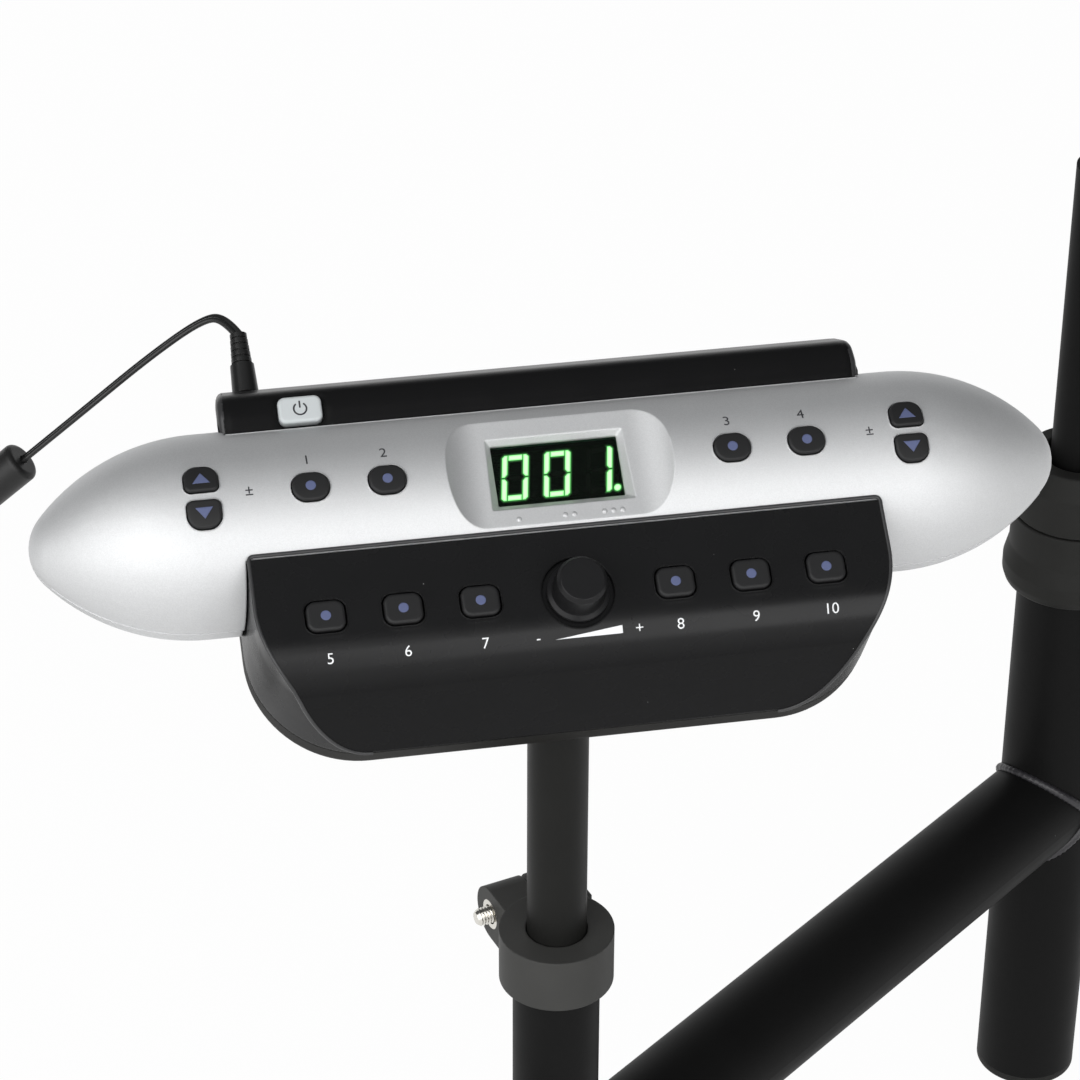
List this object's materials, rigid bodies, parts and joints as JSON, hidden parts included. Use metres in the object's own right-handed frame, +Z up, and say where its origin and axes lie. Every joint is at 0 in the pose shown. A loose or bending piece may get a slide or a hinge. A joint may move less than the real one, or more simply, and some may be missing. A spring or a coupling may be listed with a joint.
{
  "type": "electronic drum module on rack post",
  "caption": "Silver airship-shaped drum sound module with display, keys, knob and power lead, clamped by its post to a rack corner of round tubes.",
  "frame": {"origin": "mouth of the leg socket at the lower end of the upright", "axes": "+Z up along the upright, +X along the module to its right end, -Y towards the player"},
  "size_m": [0.4663, 0.2612, 0.4317],
  "materials": {
    "silver_plastic": "fine silver metallic paint",
    "black_panel": "satin black",
    "black_plastic": "fine matte texture",
    "body_key": "matte black silicone",
    "panel_key": "matte black silicone",
    "power_key": "smooth pale grey",
    "window_filter": "polished dark filter",
    "led_body": "dark face with lit green segments",
    "knob_plastic": "soft satin",
    "board": "solder mask",
    "mat_rubber": "silicone",
    "socket_plastic": "moulded",
    "shaft_metal": "turned",
    "screw_steel": "zinc plated",
    "bolt_steel": "nickel plated",
    "black_steel": "black powder coat",
    "rack_steel": "black powder coat",
    "inner_steel": "black powder coat",
    "collar_plastic": "fine matte texture",
    "lead_rubber": "satin vinyl",
    "ferrite_black": "moulded over-sleeve",
    "tie_nylon": "nylon"
  },
  "bodies": {
    "rack": {"upright_tube": "rack_steel", "cross_tube": "rack_steel", "cross_tube_cap": "collar_plastic", "receiver_tube": "rack_steel", "leg_socket": "collar_plastic", "collar_body": "collar_plastic", "collar_cap": "collar_plastic"},
    "clamp": {"clamp_collar": "black_steel", "clamp_nut": "bolt_steel"},
    "clamp_bolt": {"clamp_bolt": "bolt_steel"},
    "inner_tube": {"inner_tube": "inner_steel"},
    "hand_screw": {"collar_hand_screw": "black_plastic"},
    "module": {"upper_shell": "silver_plastic", "left_end_shell": "silver_plastic", "right_end_shell": "silver_plastic", "front_panel": "black_panel", "base_tub": "black_plastic", "rear_cover": "black_panel", "display_window": "window_filter", "led_display": "led_body", "power_switch": "socket_plastic", "volume_pot": "shaft_metal", "upper_key_board": "board", "front_key_board": "board", "main_board": "board", "upper_keypad_mat": "mat_rubber", "front_keypad_mat": "mat_rubber", "audio_jacks": "socket_plastic", "pad_harness_socket": "socket_plastic", "dc_jack": "socket_plastic", "housing_screws": "screw_steel", "board_screws": "screw_steel", "mount_flange": "black_steel", "mount_screws": "screw_steel", "module_post": "black_steel", "dc_plug": "lead_rubber", "lead_stretch": "lead_rubber", "ferrite_core": "ferrite_black", "lead_coil": "lead_rubber", "lead_tail": "lead_rubber", "cable_tie": "tie_nylon", "power_adapter": "black_plastic"},
    "volume": {"volume_knob": "knob_plastic", "pot_shaft": "shaft_metal"},
    "power_button": {"power_button": "power_key"},
    "upper_key_1": {"upper_key_1": "body_key"},
    "upper_key_2": {"upper_key_2": "body_key"},
    "upper_key_3": {"upper_key_3": "body_key"},
    "upper_key_4": {"upper_key_4": "body_key"},
    "tempo_up_key": {"tempo_up_key": "body_key"},
    "tempo_down_key": {"tempo_down_key": "body_key"},
    "data_up_key": {"data_up_key": "body_key"},
    "data_down_key": {"data_down_key": "body_key"},
    "panel_key_1": {"panel_key_1": "panel_key"},
    "panel_key_2": {"panel_key_2": "panel_key"},
    "panel_key_3": {"panel_key_3": "panel_key"},
    "panel_key_4": {"panel_key_4": "panel_key"},
    "panel_key_5": {"panel_key_5": "panel_key"},
    "panel_key_6": {"panel_key_6": "panel_key"}
  },
  "joints": [
    {"name": "module_swivel", "type": "hinge", "parent": "rack", "child": "clamp", "pos_m": [-0.2275, -0.1865, 0.235], "axis": [0, 0, 1], "range_deg": [-60, 60]},
    {"name": "module_height", "type": "slide", "parent": "clamp", "child": "module", "axis": [0, 0, 1], "range_m": [-0.03, 0.025]},
    {"name": "clamp_bolt_turn", "type": "hinge", "parent": "clamp", "child": "clamp_bolt", "pos_m": [-0.23458, -0.16148, 0.235], "axis": [0.9622, 0.2723, 0], "range_deg": [0, 360]},
    {"name": "inner_tube_height", "type": "slide", "parent": "rack", "child": "inner_tube", "axis": [0, 0, 1], "range_m": [-0.04, 0.03]},
    {"name": "hand_screw_turn", "type": "hinge", "parent": "rack", "child": "hand_screw", "pos_m": [0, 0, 0.249], "axis": [0.766, 0.6428, 0], "range_deg": [0, 360]},
    {"name": "volume_turn", "type": "hinge", "parent": "module", "child": "volume", "pos_m": [-0.2275, -0.21527, 0.39151], "axis": [0, -0.5878, 0.809], "range_deg": [-150, 150]},
    {"name": "power_press", "type": "slide", "parent": "module", "child": "power_button", "axis": [0, 0.5878, -0.809], "range_m": [0, 0.002], "stiffness_N_per_m": 800},
    {"name": "upper_key_1_press", "type": "slide", "parent": "module", "child": "upper_key_1", "axis": [0, 0.5878, -0.809], "range_m": [0, 0.001], "stiffness_N_per_m": 1000},
    {"name": "upper_key_2_press", "type": "slide", "parent": "module", "child": "upper_key_2", "axis": [0, 0.5878, -0.809], "range_m": [0, 0.001], "stiffness_N_per_m": 1000},
    {"name": "upper_key_3_press", "type": "slide", "parent": "module", "child": "upper_key_3", "axis": [0, 0.5878, -0.809], "range_m": [0, 0.001], "stiffness_N_per_m": 1000},
    {"name": "upper_key_4_press", "type": "slide", "parent": "module", "child": "upper_key_4", "axis": [0, 0.5878, -0.809], "range_m": [0, 0.001], "stiffness_N_per_m": 1000},
    {"name": "tempo_up_key_press", "type": "slide", "parent": "module", "child": "tempo_up_key", "axis": [0, 0.5878, -0.809], "range_m": [0, 0.001], "stiffness_N_per_m": 1000},
    {"name": "tempo_down_key_press", "type": "slide", "parent": "module", "child": "tempo_down_key", "axis": [0, 0.5878, -0.809], "range_m": [0, 0.001], "stiffness_N_per_m": 1000},
    {"name": "data_up_key_press", "type": "slide", "parent": "module", "child": "data_up_key", "axis": [0, 0.5878, -0.809], "range_m": [0, 0.001], "stiffness_N_per_m": 1000},
    {"name": "data_down_key_press", "type": "slide", "parent": "module", "child": "data_down_key", "axis": [0, 0.5878, -0.809], "range_m": [0, 0.001], "stiffness_N_per_m": 1000},
    {"name": "panel_key_1_press", "type": "slide", "parent": "module", "child": "panel_key_1", "axis": [0, 0.5878, -0.809], "range_m": [0, 0.001], "stiffness_N_per_m": 1000},
    {"name": "panel_key_2_press", "type": "slide", "parent": "module", "child": "panel_key_2", "axis": [0, 0.5878, -0.809], "range_m": [0, 0.001], "stiffness_N_per_m": 1000},
    {"name": "panel_key_3_press", "type": "slide", "parent": "module", "child": "panel_key_3", "axis": [0, 0.5878, -0.809], "range_m": [0, 0.001], "stiffness_N_per_m": 1000},
    {"name": "panel_key_4_press", "type": "slide", "parent": "module", "child": "panel_key_4", "axis": [0, 0.5878, -0.809], "range_m": [0, 0.001], "stiffness_N_per_m": 1000},
    {"name": "panel_key_5_press", "type": "slide", "parent": "module", "child": "panel_key_5", "axis": [0, 0.5878, -0.809], "range_m": [0, 0.001], "stiffness_N_per_m": 1000},
    {"name": "panel_key_6_press", "type": "slide", "parent": "module", "child": "panel_key_6", "axis": [0, 0.5878, -0.809], "range_m": [0, 0.001], "stiffness_N_per_m": 1000}
  ]
}
